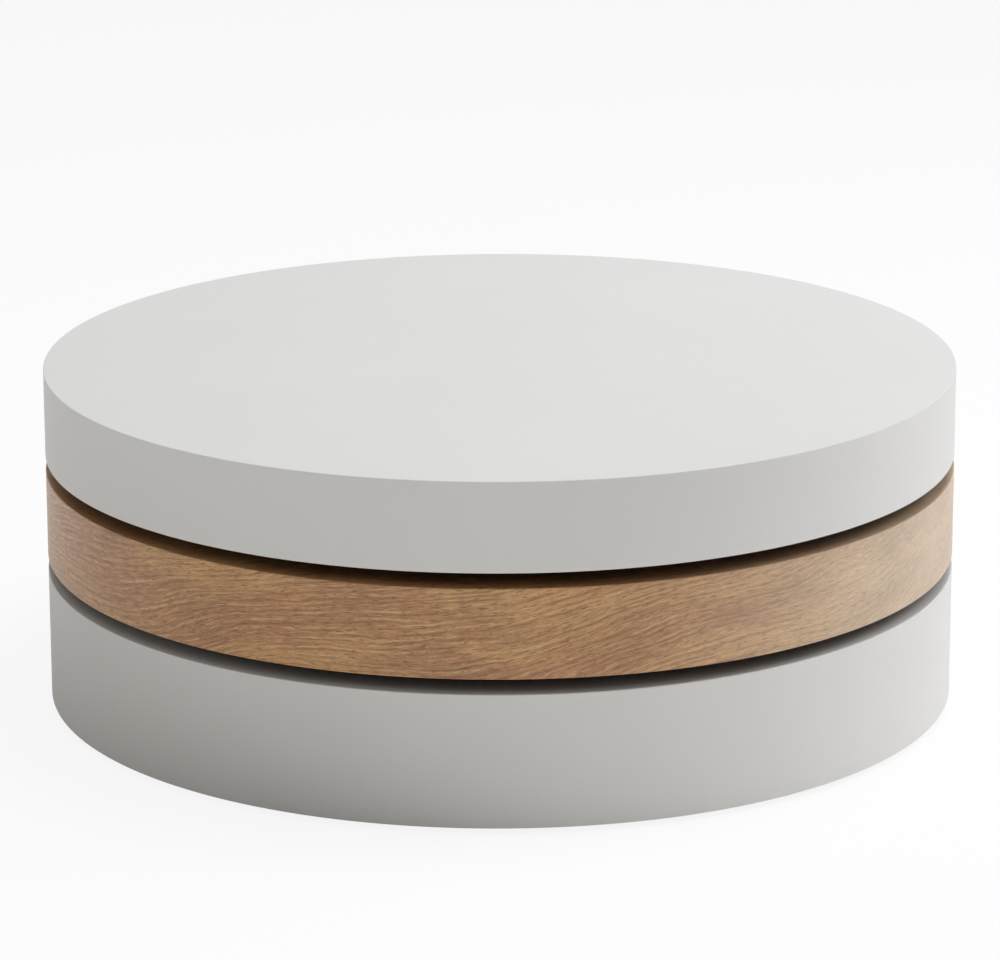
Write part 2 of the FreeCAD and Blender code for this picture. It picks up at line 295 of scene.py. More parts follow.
def edge_arc(radius: float, count: int = 6) -> Array:
    """Offsets along a rounded edge from the flat to the wall, as columns inset and drop.

    At angle a from 0 to 90 degrees the edge lies radius (1 - sin a) in from the wall and
    radius (1 - cos a) away from the flat.
    """
    turn = np.linspace(0.0, QUARTER, count)
    return radius * np.column_stack([1 - np.sin(turn), 1 - np.cos(turn)])


# ---------------------------------------------------------------- shader arithmetic

class Term:
    """A shader socket that takes part in Python arithmetic by adding Math nodes."""

    def __init__(self, shader: "Shader", socket: bpy.types.NodeSocket) -> None:
        """Wrap a socket.

        Args:
            shader: the shader that the socket belongs to.
            socket: an output socket that carries a number.
        """
        self.shader = shader
        self.socket = socket

    def _with(self, operation: str, first: Amount, second: Amount) -> "Term":
        """One Math node on two values or terms."""
        node = self.shader.node("ShaderNodeMath", {"operation": operation}, {0: first, 1: second})
        return Term(self.shader, node.outputs[0])

    def __add__(self, other: Amount) -> "Term":
        """self + other."""
        return self._with("ADD", self, other)

    def __radd__(self, other: Amount) -> "Term":
        """other + self."""
        return self._with("ADD", other, self)

    def __sub__(self, other: Amount) -> "Term":
        """self - other."""
        return self._with("SUBTRACT", self, other)

    def __rsub__(self, other: Amount) -> "Term":
        """other - self."""
        return self._with("SUBTRACT", other, self)

    def __mul__(self, other: Amount) -> "Term":
        """self * other."""
        return self._with("MULTIPLY", self, other)

    def __rmul__(self, other: Amount) -> "Term":
        """other * self."""
        return self._with("MULTIPLY", other, self)

    def __truediv__(self, other: Amount) -> "Term":
        """self / other."""
        return self._with("DIVIDE", self, other)

    def fraction(self) -> "Term":
        """What is left above the whole number."""
        return self._with("FRACT", self, 0.0)

    def fold(self, width: float) -> "Term":
        """The value sent to and fro between 0 and width."""
        return self._with("PINGPONG", self, width)

    def step(self, low: float, high: float) -> "Term":
        """A smooth rise from 0 to 1.

        Args:
            low: the value up to which it is 0.
            high: the value from which it is 1.

        Returns:
            The rise.
        """
        node = self.shader.node(
            "ShaderNodeMapRange",
            {"interpolation_type": "SMOOTHSTEP"},
            {"Value": self, "From Min": low, "From Max": high, "To Min": 0.0, "To Max": 1.0},
        )
        return Term(self.shader, node.outputs["Result"])

    def band(self, rise: Span, fall: Span) -> "Term":
        """Up smoothly over the rise's two values and down again over the fall's."""
        return self.step(*rise) - self.step(*fall)


class Shader:
    """A node tree that starts empty, and the calls that fill it."""

    def __init__(self, holder: Any) -> None:
        """Clear the holder's nodes.

        Args:
            holder: a new material or world.
        """
        holder.use_nodes = True
        self.holder = holder
        self.tree = holder.node_tree
        self.tree.nodes.clear()

    @staticmethod
    def material(name: str) -> "Shader":
        """A shader for a new material of this name."""
        return Shader(bpy.data.materials.new(name))

    def node(self, kind: str, settings: dict[str, Any], inputs: dict[Any, Any]) -> bpy.types.Node:
        """Add one node.

        Args:
            kind: the node's type.
            settings: its properties, which are set first.
            inputs: a value, a Term or a socket for each input, by name or number.

        Returns:
            The node.
        """
        made = self.tree.nodes.new(kind)
        for key, value in settings.items():
            setattr(made, key, value)
        for key, value in inputs.items():
            if isinstance(value, Term):
                self.tree.links.new(value.socket, made.inputs[key])
            elif isinstance(value, bpy.types.NodeSocket):
                self.tree.links.new(value, made.inputs[key])
            else:
                made.inputs[key].default_value = value
        return made

    def place(self) -> bpy.types.NodeSocket:
        """The object's own coordinates."""
        return self.node("ShaderNodeTexCoord", {}, {}).outputs["Object"]

    def seen(self) -> Term:
        """How far a ray sees the surroundings as white.

        Returns:
            1 for rays from the eye or through a clear body, GLOSS_SEES for a gloss, 0 for the rest.
        """
        rays = self.node("ShaderNodeLightPath", {}, {}).outputs
        eye = Term(self, rays["Is Camera Ray"]) + Term(self, rays["Is Transmission Ray"])
        return eye + GLOSS_SEES * Term(self, rays["Is Glossy Ray"])

    def grain_place(self) -> tuple[Term, Term]:
        """Where a point lies in the grain's map.

        Returns:
            Its place along the grain, and across it, in metres.
        """
        lookup = self.node("ShaderNodeUVMap", {"uv_map": GRAIN_MAP}, {})
        split = self.node("ShaderNodeSeparateXYZ", {}, {0: lookup.outputs[0]})
        return Term(self, split.outputs[0]), Term(self, split.outputs[1])

    def vector(self, x: Amount, y: Amount, z: Amount = 0.0) -> bpy.types.NodeSocket:
        """A vector of three values or terms."""
        return self.node("ShaderNodeCombineXYZ", {}, {0: x, 1: y, 2: z}).outputs[0]

    def noise(self, place: bpy.types.NodeSocket, scale: float, detail: float = 2.0,
              rough: float = 0.5) -> Term:
        """Smooth noise, about 0.5 on average.

        Args:
            place: where it is read.
            scale: features for each unit of place.
            detail: octaves.
            rough: weight of each finer octave.

        Returns:
            The noise.
        """
        made = self.node(
            "ShaderNodeTexNoise", {"noise_dimensions": "3D"},
            {"Vector": place, "Scale": scale, "Detail": detail, "Roughness": rough},
        )
        return Term(self, made.outputs[0])

    def mix(self, share: Amount, low: Tone, high: Tone) -> bpy.types.NodeSocket:
        """Blend two colours.

        Args:
            share: how much of the second there is.
            low: the first colour.
            high: the second.

        Returns:
            The blend.
        """
        made = self.node(
            "ShaderNodeMix", {"data_type": "RGBA", "clamp_factor": True},
            {"Factor": share, 6: _rgba(low), 7: _rgba(high)},
        )
        return made.outputs[2]

    def tint(self, colour: Tone, amount: Amount) -> bpy.types.NodeSocket:
        """A colour made lighter or darker by a factor."""
        made = self.node("ShaderNodeVectorMath", {"operation": "SCALE"}, {0: colour, "Scale": amount})
        return made.outputs[0]

    def bump(self, height: Term, depth: float) -> bpy.types.NodeSocket:
        """A normal from a height from 0 to 1, with the depth in metres."""
        made = self.node("ShaderNodeBump", {}, {"Height": height, "Distance": depth, "Strength": 1.0})
        return made.outputs[0]

    def finish(self, **sockets: Any) -> bpy.types.Material:
        """Feed the surface shader and give back the material.

        Args:
            sockets: the surface shader's inputs, with underscores for spaces.

        Returns:
            The material.
        """
        inputs = {key.replace("_", " "): _rgba(value) for key, value in sockets.items()}
        surface = self.node("ShaderNodeBsdfPrincipled", {}, inputs)
        self.node("ShaderNodeOutputMaterial", {}, {"Surface": surface.outputs[0]})
        return self.holder


def _rgba(value: Any) -> Any:
    """A plain colour with its alpha added; anything else as it is."""
    return (*value, 1.0) if isinstance(value, tuple) and len(value) == 3 else value


# ---------------------------------------------------------------- finishes

@dataclass(frozen=True)
class WhiteLacquer:
    """Sprayed satin lacquer on fibreboard: faint clouding and a fine orange-peel skin."""

    name: str = "white_lacquer"
    light: Colour = (0.800, 0.799, 0.795)
    dull: Colour = (0.786, 0.785, 0.780)
    roughness: float = 0.46
    cloud_scale: float = 5.0
    speck_scale: float = 60.0
    peel_scale: float = 420.0
    peel_depth: float = 0.02 * MM

    def material(self) -> bpy.types.Material:
        """Build the finish.

        Returns:
            Its material.
        """
        shader = Shader.material(self.name)
        place = shader.place()
        clouds = shader.noise(place, self.cloud_scale, 3.0)
        specks = shader.noise(place, self.speck_scale, 2.0)
        peel = shader.noise(place, self.peel_scale, 1.0)
        return shader.finish(
            Base_Color=shader.mix(clouds.step(0.25, 0.75), self.dull, self.light),
            Roughness=self.roughness + 0.03 * (clouds - 0.5) + 0.04 * (specks - 0.5),
            Normal=shader.bump(peel, self.peel_depth),
        )


@dataclass(frozen=True)
class Figure:
    """Noise that is drawn out along the grain.

    along and across are its features for each metre; layer keeps two that are read at one place
    apart; detail is the number of octaves, and rough the weight of each finer one.  With a span the
    noise rises from 0 to 1 between these two values; without one it is about 0.5 on average.
    """

    along: float
    across: float
    layer: float = 0.0
    detail: float = 1.0
    rough: float = 0.5
    span: Optional[Span] = None

    def read(self, shader: Shader, along: Term, across: Term) -> Term:
        """Work the noise out.

        Args:
            shader: the shader that gets the nodes.
            along: metres along the grain.
            across: metres across the grain, or across the rings.

        Returns:
            The noise.
        """
        place = shader.vector(along * self.along, across * self.across, self.layer)
        noise = shader.noise(place, 1.0, self.detail, self.rough)
        return noise.step(*self.span) if self.span else noise


@dataclass(frozen=True)
class OakVeneer:
    """Satin oak in mirrored leaves: arches that sweep up the leaf, broken streaks, short dark pores.

    The right side of the drum is paled towards a beige tone over one stretch of lengths round it: painted sheen,
    in place of the gloss of the lamps on the right, which also thins the pores there.  early and late are the
    bands of pale and of dark wood, as shares of a ring.

    The rings lie on a field in metres across the grain.  It is the folded place across the leaf, less
    a steady climb along it, plus an arch that is high at the leaf's edge and dies out inwards.  The
    arch falls fast and rises slowly, so that the rings sweep up fast and then run on level.
    """

    name: str = "oak_veneer"
    honey: Colour = (0.610, 0.330, 0.124)
    rose: Colour = (0.505, 0.236, 0.098)
    straw: Colour = (0.750, 0.465, 0.225)
    umber: Colour = (0.290, 0.122, 0.046)
    pore: Colour = (0.150, 0.058, 0.024)
    # painted sheen: the pale tone that the right side's lengths are mixed towards, in place of the lamps' gloss
    painted_sheen_tone: Colour = (0.770, 0.655, 0.510)
    roughness: float = 0.42
    coat: float = 0.50
    coat_roughness: float = 0.38
    pore_depth: float = 0.06 * MM

    leaf: float = 0.200
    arch_length: float = 0.345
    arch_height: float = 0.025
    arch_reach: Span = (-0.03, 0.105)
    sweep: float = 0.45
    climb: float = 0.145
    wander: float = 0.25
    sway: float = 12.0 * MM
    wiggle: float = 2.0 * MM
    wander_figure: Figure = Figure(1.9, 4.0)
    sway_figure: Figure = Figure(9.0, 24.0)
    wiggle_figure: Figure = Figure(40.0, 90.0, detail=2.0)

    ring: float = 4.6 * MM
    unevenness: float = 1.6
    early: tuple[Span, Span] = ((0.0, 0.20), (0.22, 0.45))
    late: tuple[Span, Span] = ((0.45, 0.75), (0.78, 1.0))
    spacing_figure: Figure = Figure(4.0, 90.0, 2.0)
    early_figure: Figure = Figure(18.0, 170.0, 8.0, span=(0.40, 0.64))
    late_figure: Figure = Figure(22.0, 200.0, 5.0, span=(0.38, 0.62))

    patch_figure: Figure = Figure(5.0, 22.0, detail=3.0, span=(0.40, 0.60))
    pale_figure: Figure = Figure(60.0, 700.0, 3.0, 3.0, 0.75, span=(0.50, 0.62))
    pore_figure: Figure = Figure(120.0, 1050.0, 7.0, span=(0.56, 0.68))
    light_figure: Figure = Figure(14.0, 34.0, 9.0, 3.0)
    fibre_figure: Figure = Figure(110.0, 1300.0, 6.0, 2.0, 0.7)
    streak_figure: Figure = Figure(85.0, 760.0, 0.0, 3.0, 0.75)
    streak: Span = (0.53, 0.62)
    # lengths round the drum, on its right side, that carry the painted sheen
    painted_sheen_span: tuple[Span, Span] = ((0.06, 0.42), (0.40, 0.90))

    def _rings(self, shader: Shader, along: Term, across: Term) -> Term:
        """The place across the growth rings, in metres.

        Args:
            shader: the shader that gets the nodes.
            along: metres along the grain.
            across: metres across the grain.

        Returns:
            The field whose level lines are the rings.
        """
        wander = self.wander_figure.read(shader, along, across) - 0.5
        turn = (along / self.arch_length + self.wander * wander).fraction()
        wave = 1.0 - turn.step(0.0, self.sweep) + turn.step(self.sweep, 1.0)
        folded = across.fold(self.leaf)
        fade = 1.0 - folded.step(*self.arch_reach)
        sway = self.sway_figure.read(shader, along, folded) - 0.5
        wiggle = self.wiggle_figure.read(shader, along, folded) - 0.5
        level = folded - self.climb * along + self.arch_height * fade * wave
        return level + self.sway * sway + self.wiggle * wiggle

    def material(self) -> bpy.types.Material:
        """Build the finish: early and late wood in each ring, then streaks, painted sheen and pores.

        Returns:
            Its material.
        """
        shader = Shader.material(self.name)
        along, across = shader.grain_place()
        rings = self._rings(shader, along, across)

        spacing = self.spacing_figure.read(shader, along, rings)
        turn = (rings / self.ring + self.unevenness * spacing).fraction()
        early = turn.band(*self.early) * self.early_figure.read(shader, along, rings)
        late = turn.band(*self.late)
        dark = late * self.late_figure.read(shader, along, rings)

        patch = self.patch_figure.read(shader, along, rings)
        pale = self.pale_figure.read(shader, along, rings)
        streak = self.streak_figure.read(shader, along, rings)
        pores = self.pore_figure.read(shader, along, rings) * (0.40 + 0.60 * late)
        # painted sheen: 1 over the right side's lengths, where the lamps' gloss would fall
        painted_sheen = along.band(*self.painted_sheen_span)
        wood = shader.mix(patch, self.rose, self.honey)
        wood = shader.mix(0.60 * pale + 0.70 * early, wood, self.straw)
        wood = shader.mix(0.62 * dark, wood, self.umber)
        wood = shader.mix(0.85 * streak.step(*self.streak), wood, self.umber)
        # painted sheen mixed into the wood; the pores are thinned there too
        wood = shader.mix(0.60 * painted_sheen, wood, self.painted_sheen_tone)
        wood = shader.mix((0.50 - 0.36 * painted_sheen) * pores, wood, self.pore)

        light = self.light_figure.read(shader, along, across)
        fibre = self.fibre_figure.read(shader, along, rings)
        return shader.finish(
            Base_Color=shader.tint(wood, 0.37 + 0.44 * light + 0.75 * fibre),
            Roughness=self.roughness + 0.10 * (streak - 0.5) + 0.12 * pores,
            Coat_Weight=self.coat,
            Coat_Roughness=self.coat_roughness,
            Normal=shader.bump(0.5 * fibre + 0.5 * streak - pores, self.pore_depth),
        )


@dataclass(frozen=True)
class Board:
    """Fibreboard, bare or black-faced: felted fibres with pale and dark specks."""

    name: str
    light: Colour
    dark: Colour
    roughness: float = 0.78
    felt_scale: float = 260.0
    cloud_scale: float = 9.0
    felt_depth: float = 0.08 * MM

    def material(self) -> bpy.types.Material:
        """Build the finish.

        Returns:
            Its material.
        """
        shader = Shader.material(self.name)
        place = shader.place()
        felt = shader.noise(place, self.felt_scale, 4.0, 0.7)
        clouds = shader.noise(place, self.cloud_scale, 2.0)
        tone = shader.mix(felt.step(0.3, 0.7), self.dark, self.light)
        return shader.finish(
            Base_Color=shader.tint(tone, 0.85 + 0.3 * clouds),
            Roughness=self.roughness + 0.15 * (felt - 0.5),
            Normal=shader.bump(felt, self.felt_depth),
        )


@dataclass(frozen=True)
class Steel:
    """Steel with a plated or a ground skin: mottled tone and short scratches."""

    name: str
    tone: Colour
    shadow: Colour
    roughness: float
    scratch_depth: float
    bloom_scale: float = 45.0
    scratch_scale: tuple[float, float, float] = (60.0, 900.0, 900.0)

    def material(self) -> bpy.types.Material:
        """Build the finish.

        Returns:
            Its material.
        """
        shader = Shader.material(self.name)
        place = shader.place()
        bloom = shader.noise(place, self.bloom_scale, 3.0)
        drawn = shader.node("ShaderNodeMapping", {}, {"Vector": place, "Scale": self.scratch_scale})
        scratches = shader.noise(drawn.outputs[0], 1.0, 2.0)
        return shader.finish(
            Base_Color=shader.mix(bloom.step(0.35, 0.7), self.tone, self.shadow),
            Metallic=1.0,
            Roughness=self.roughness + 0.16 * (bloom - 0.5) + 0.14 * (scratches - 0.5),
            Normal=shader.bump(scratches, self.scratch_depth),
        )


@dataclass(frozen=True)
class Nylon:
    """Moulded nylon: even tone, faint flow marks and a fine spark-eroded grain."""

    name: str
    tone: Colour
    roughness: float = 0.5
    flow_scale: float = 30.0
    grain_scale: float = 1500.0
    grain_depth: float = 0.02 * MM

    def material(self) -> bpy.types.Material:
        """Build the finish.

        Returns:
            Its material.
        """
        shader = Shader.material(self.name)
        place = shader.place()
        flow = shader.noise(place, self.flow_scale, 2.0)
        grain = shader.noise(place, self.grain_scale, 1.0)
        return shader.finish(
            Base_Color=shader.tint(self.tone, 0.93 + 0.14 * flow),
            Roughness=self.roughness + 0.1 * (flow - 0.5) + 0.08 * (grain - 0.5),
            Normal=shader.bump(grain, self.grain_depth),
        )


@dataclass(frozen=True)
class StudioFloor:
    """Pale seamless floor: near white to the eye, where it keeps the table's shadow.

    Light that bounces off it finds a duller floor with a faint glow of its own, and a painted shadow under the
    table's left half:
    a patch that is darker still and doesn't glow, in place of the shade round the table's foot.
    """

    name: str = "studio_floor"
    seen: Colour = (0.97, 0.97, 0.97)
    # painted shadow: the patch's tone, seen only by light that bounces off the floor
    dark: Colour = (0.44, 0.415, 0.385)
    dull: Colour = (0.895, 0.880, 0.853)
    painted_shadow_middle: tuple[float, float, float] = (-0.30, 0.0, 0.0)
    painted_shadow_radius: float = 0.38
    dull_radius: float = 0.72
    glow_share: float = 0.88
    bounce: Colour = (1.90, 1.87, 1.82)
    bounce_share: float = 0.21

    def material(self) -> bpy.types.Material:
        """Build the finish.

        Returns:
            Its material.
        """
        shader = Shader.material(self.name)
        reach = shader.node(
            "ShaderNodeVectorMath", {"operation": "DISTANCE"}, {0: shader.place(), 1: self.painted_shadow_middle}
        )
        # 0 in the painted shadow patch, rising to 1 on the duller floor beyond
        away = Term(shader, reach.outputs["Value"]).step(self.painted_shadow_radius, self.dull_radius)
        seen = shader.seen()
        tone = shader.mix(seen, shader.mix(away, self.dark, self.dull), self.seen)
        diffuse = shader.node("ShaderNodeBsdfDiffuse", {}, {"Color": tone})
        glow_tone = shader.mix(seen.step(0.0, GLOSS_SEES), self.bounce, WHITE)
        glow = shader.node("ShaderNodeEmission", {}, {"Color": glow_tone, "Strength": 1.0})
        # no glow inside the painted shadow patch
        share = seen * self.glow_share + (1.0 - seen) * away * self.bounce_share
        blend = shader.node(
            "ShaderNodeMixShader", {}, {0: share, 1: diffuse.outputs[0], 2: glow.outputs[0]}
        )
        shader.node("ShaderNodeOutputMaterial", {}, {"Surface": blend.outputs[0]})
        return shader.holder


class Palette:
    """Every finish of the table, made once."""

    def __init__(self) -> None:
        """Make the materials and keep them by the record's slot names."""
        finishes = [
            WhiteLacquer(),
            OakVeneer(),
            Board("raw_board", (0.43, 0.31, 0.19), (0.29, 0.195, 0.115)),
            Board("black_board", (0.060, 0.033, 0.020), (0.032, 0.018, 0.011)),
            Steel("zinc_plated_steel", (0.66, 0.67, 0.68), (0.50, 0.52, 0.55), 0.36, 0.004 * MM),
            Steel("bright_steel", (0.72, 0.72, 0.71), (0.58, 0.58, 0.57), 0.22, 0.002 * MM),
            Nylon("grey_nylon", (0.060, 0.060, 0.064)),
            Nylon("white_nylon", (0.74, 0.73, 0.68)),
        ]
        self.materials = {finish.name: finish.material() for finish in finishes}

    def dress(self, piece: bpy.types.Object, slot: str) -> None:
        """Give a piece one finish on all its faces.

        Args:
            piece: a mesh object.
            slot: the record's slot.
        """
        if not piece.data.materials:
            piece.data.materials.append(self.materials[slot])
        for index in range(len(piece.data.materials)):
            piece.data.materials[index] = self.materials[slot]


# ---------------------------------------------------------------- the table's parts

@dataclass(frozen=True)
class Maker:
    """Turns surfaces into pieces that ride on a body in a slot's finish."""

    palette: Palette

    def piece(self, skin: Skin, name: str, body: str, slot: str, nodes: Sequence[str] = ()) -> None:
        """Build, dress and register one piece.

        Args:
            skin: its surface.
            name: its name.
            body: the CAD body that it moves with.
            slot: the record's material slot.
            nodes: the CAD nodes that it stands for.
        """
        made = skin.build(name)
        self.palette.dress(made, slot)
        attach(made, body)
        if nodes:
            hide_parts(*nodes)
        LOG.info("%s: %d quads on %s", name, len(skin.quads), body)


@dataclass(frozen=True)
class Pivot:
    """The bolt's axis and the shank that everything turns on; play is for holes that it only passes."""

    back: float
    shank: float
    play: float = 0.5 * MM

    @staticmethod
    def read() -> "Pivot":
        """Take the axis from the joint, and the shank's radius as a third of the head's flats."""
        low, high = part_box("pivot_bolt")
        return Pivot(back=frame["joints"][0]["pos_m"][1], shank=(high.y - low.y) / 3)

    @property
    def passing(self) -> float:
        """Radius of a hole that the bolt only passes."""
        return self.shank + self.play


@dataclass(frozen=True)
class Drum:
    """One hollow drum: a casing of lid and band in one skin, and the floor board let into it.

    bore and hole are the radii of the openings round the bolt in the lid, where 0 is none, and in the
    floor.  guard is a narrow flat beside each rounded edge, which keeps its shading crisp.
    """

    tier: str
    slot: str
    bore: float
    hole: float
    arris: float = 0.8 * MM
    arris_points: int = 7
    lower_arris: float = 0.7 * MM
    seam: float = 0.5 * MM
    guard: float = 0.6 * MM
    steps: int = 384

    def _ring(self, radius: float, height: float, chart: Chart = Chart.WALL, back: float = 0.0) -> Level:
        """A round level about the drum's axis, or about one behind it."""
        return Level(circle(radius, self.steps, back), height, chart)

    def casing(self, pivot: Pivot) -> Skin:
        """Lid and band as one closed skin.

        The profile goes up through the bore, out over the lid, round the arris, down the wall,
        round the lower edge, in under the band, up its inner side and back under the lid.  Over the
        lid the skin runs straight from the bore's circle to the rim's.

        Args:
            pivot: where the bore is.

        Returns:
            The surface.
        """
        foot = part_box(f"{self.tier}_rim_band")[0].z
        lid_low, lid_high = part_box(f"{self.tier}_lid")
        outer, top = lid_high.x, lid_high.z
        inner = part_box(f"{self.tier}_floor")[1].x
        back = pivot.back if self.bore else 0.0
        ring = self._ring
        outside = [
            ring(self.bore, top, Chart.PLAN, back),
            ring(outer - self.arris - self.guard, top, Chart.PLAN),
            *(ring(outer - inset, top - drop) for inset, drop in edge_arc(self.arris, self.arris_points)),
            ring(outer, top - self.arris - self.guard),
            ring(outer, foot + self.lower_arris + self.guard),
            *(ring(outer - inset, foot + drop) for inset, drop in edge_arc(self.lower_arris)[::-1]),
        ]
        inside = [
            ring(inner + self.seam + self.guard, foot),
            ring(inner + self.seam, foot),
            ring(inner, foot + self.seam),
            ring(inner, lid_low.z, Chart.PLAN),
            ring(self.bore, lid_low.z, Chart.WALL, back),
        ]
        return loft(outside + inside, closed=bool(self.bore), zero=len(outside) - 1)

    def floor(self, pivot: Pivot) -> Skin:
        """The floor board, its edges eased so that a fine seam shows round it.

        Args:
            pivot: where the hole is.

        Returns:
            The surface.
        """
        low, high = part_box(f"{self.tier}_floor")
        radius = high.x
        ring = self._ring
        return loft([
            ring(self.hole, high.z, Chart.WALL, pivot.back),
            ring(self.hole, low.z + self.seam, Chart.WALL, pivot.back),
            ring(self.hole + self.seam, low.z, Chart.PLAN, pivot.back),
            ring(radius - self.seam - self.guard, low.z, Chart.PLAN),
            ring(radius - self.seam, low.z),
            ring(radius, low.z + self.seam),
            ring(radius, high.z, Chart.PLAN),
        ], closed=True)

    def make(self, maker: Maker, pivot: Pivot) -> None:
        """Build casing and floor board.

        Args:
            maker: what registers the pieces.
            pivot: the bolt's axis and shank.
        """
        maker.piece(self.casing(pivot), f"{self.tier}_casing", self.tier, self.slot,
                    [f"{self.tier}_lid", f"{self.tier}_rim_band"])
        maker.piece(self.floor(pivot), f"{self.tier}_floor_board", self.tier, "black_board",
                    [f"{self.tier}_floor"])


@dataclass(frozen=True)
class Screws:
    """Pan-head screws with a cross recess, seen from above or below.

    arm is how far the cross reaches, slot its half width and soft the width of its edges' fall;
    skirt is the least height inside the rim, as a share of the head's.  flat and fall are the
    dome's powers, and gather sets its rings closer towards the rim the smaller it is.  Each head is
    turned by next_turn more than the one before it.
    """

    radius: float = 4.0 * MM
    height: float = 2.2 * MM
    arm: float = 2.3 * MM
    slot: float = 0.55 * MM
    depth: float = 1.5 * MM
    soft: float = 0.35 * MM
    skirt: float = 0.15
    flat: float = 3.0
    fall: float = 2.2
    gather: float = 0.8
    first_turn: float = 0.4
    next_turn: float = 1.9
    rings: int = 14
    steps: int = 40

    def head(self) -> Skin:
        """One head that stands on z = 0 and is closed below.

        Along a radius p from 0 to 1 the dome is height (1 - p^flat)^(1/fall).  The cross lowers it
        by depth where the lesser of |x| and |y| is under the slot's half width and the greater is
        within the arm, each with a smooth edge.

        Returns:
            The surface.
        """
        share = np.linspace(0.0, 1.0, self.rings)[:, None] ** self.gather
        place = plan(self.radius * share, angles(self.steps))
        near, far = np.sort(np.abs(place), axis=-1).transpose(2, 0, 1)
        cross = (
            np.clip((self.slot + self.soft - near) / self.soft, 0, 1)
            * np.clip((self.arm - far) / self.soft, 0, 1)
        )
        dome = self.height * (1 - share**self.flat) ** (1 / self.fall)
        rise = np.maximum(dome - self.depth * cross, self.skirt * self.height)
        rise[-1] = 0.0
        grid = np.concatenate([place, rise[..., None]], axis=-1)
        points = np.concatenate([grid, grid[-1:] * 0.0]).reshape(-1, 3)
        quads = wrapped_quads(self.rings + 1, self.steps, closed=False)
        return Skin(points, quads, points[quads][:, :, :2])

    def row(self, places: Iterable[tuple[float, float]], height: float, down: bool) -> Skin:
        """A set of heads on one face.

        Args:
            places: where each stands in plan.
            height: the face's height.
            down: whether the face looks down.

        Returns:
            All heads as one surface.
        """
        head = self.head()
        lean = math.pi if down else 0.0
        return Skin.joined(
            head.turned(x=lean, z=self.first_turn + self.next_turn * index).shifted(x, y, height)
            for index, (x, y) in enumerate(places)
        )


@dataclass(frozen=True)
class Race:
    """What fills one gap: two plates with their screws, the rollers and their cage.

    edge is how much a plate's edges are eased, guard a narrow flat inside them, clip what is cut off
    its corners, and clip_share how much of an inset the cut follows.  bevel and ease shape the
    rollers' ends.
    """

    position: str
    below: str
    above: str
    edge: float = 0.35 * MM
    guard: float = 0.3 * MM
    clip: float = 14 * MM
    clip_share: float = 0.6
    screw_inset: float = 14 * MM
    plate_steps: int = 240
    roller_count: int = 6
    roller_length: float = 14 * MM
    ease: float = 0.5 * MM
    bevel: float = 0.15 * MM
    roller_steps: int = 48

    def plate(self, node: str, pivot: Pivot) -> Skin:
        """A square plate with clipped corners, eased edges and a round hole, as a closed ring.

        Args:
            node: the CAD node that it stands for.
            pivot: where the hole is.

        Returns:
            The surface.
        """
        low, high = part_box(node)
        half = (high.x - low.x) / 2
        hole = circle(pivot.passing, self.plate_steps)

        def outline(inset: float) -> Array:
            """The plate's edge, drawn in by an inset."""
            return clipped_square(half - inset, self.clip - self.clip_share * inset, self.plate_steps)

        return loft([
            Level(hole, low.z, Chart.PLAN),
            Level(outline(self.edge + self.guard), low.z, Chart.PLAN),
            Level(outline(self.edge), low.z),
            Level(outline(0.0), low.z + self.edge),
            Level(outline(0.0), high.z - self.edge),
            Level(outline(self.edge), high.z, Chart.PLAN),
            Level(outline(self.edge + self.guard), high.z, Chart.PLAN),
            Level(hole, high.z),
        ], closed=True).shifted(0.0, pivot.back)

    def rollers(self, pivot: Pivot) -> Skin:
        """Rollers with eased ends that lie along the radius, evenly round the pivot.

        Args:
            pivot: what they lie round.

        Returns:
            All rollers as one surface.
        """
        low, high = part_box(f"{self.position}_rollers")
        radius = (high.z - low.z) / 2
        start = (high.x - low.x) / 2 - self.roller_length
        end = [(radius - self.ease, 0.0), (radius - self.bevel, self.bevel), (radius, self.ease)]
        other = [(size, self.roller_length - height) for size, height in reversed(end)]
        profile = [(0.0, 0.0), *end, *other, (0.0, self.roller_length)]
        lying = revolved(profile, self.roller_steps).turned(y=QUARTER).shifted(start, 0.0)
        return Skin.joined(
            lying.turned(z=FULL * index / self.roller_count) for index in range(self.roller_count)
        ).shifted(0.0, pivot.back, (low.z + high.z) / 2)

    def make(self, maker: Maker, pivot: Pivot) -> None:
        """Build the plates, their screws and the rollers; the cage keeps its solid.

        Args:
            maker: what registers the pieces.
            pivot: the bolt's axis and shank.
        """
        lower = f"{self.below}_upper_race_plate"
        upper = f"{self.above}_lower_race_plate"
        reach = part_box(lower)[1].x - self.screw_inset
        places = [(side * reach, pivot.back + end * reach) for side in (-1, 1) for end in (-1, 1)]
        zinc = "zinc_plated_steel"
        maker.piece(self.plate(lower, pivot), f"{lower}_skin", self.below, zinc, [lower])
        maker.piece(self.plate(upper, pivot), f"{upper}_skin", self.above, zinc, [upper])
        on_lower = Screws().row(places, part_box(lower)[1].z, down=False)
        on_upper = Screws().row(places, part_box(upper)[0].z, down=True)
        maker.piece(on_lower, f"{self.below}_upper_plate_screws", self.below, zinc)
        maker.piece(on_upper, f"{self.above}_lower_plate_screws", self.above, zinc)
        maker.piece(self.rollers(pivot), f"{self.position}_roller_set", self.below, "bright_steel",
                    [f"{self.position}_rollers"])


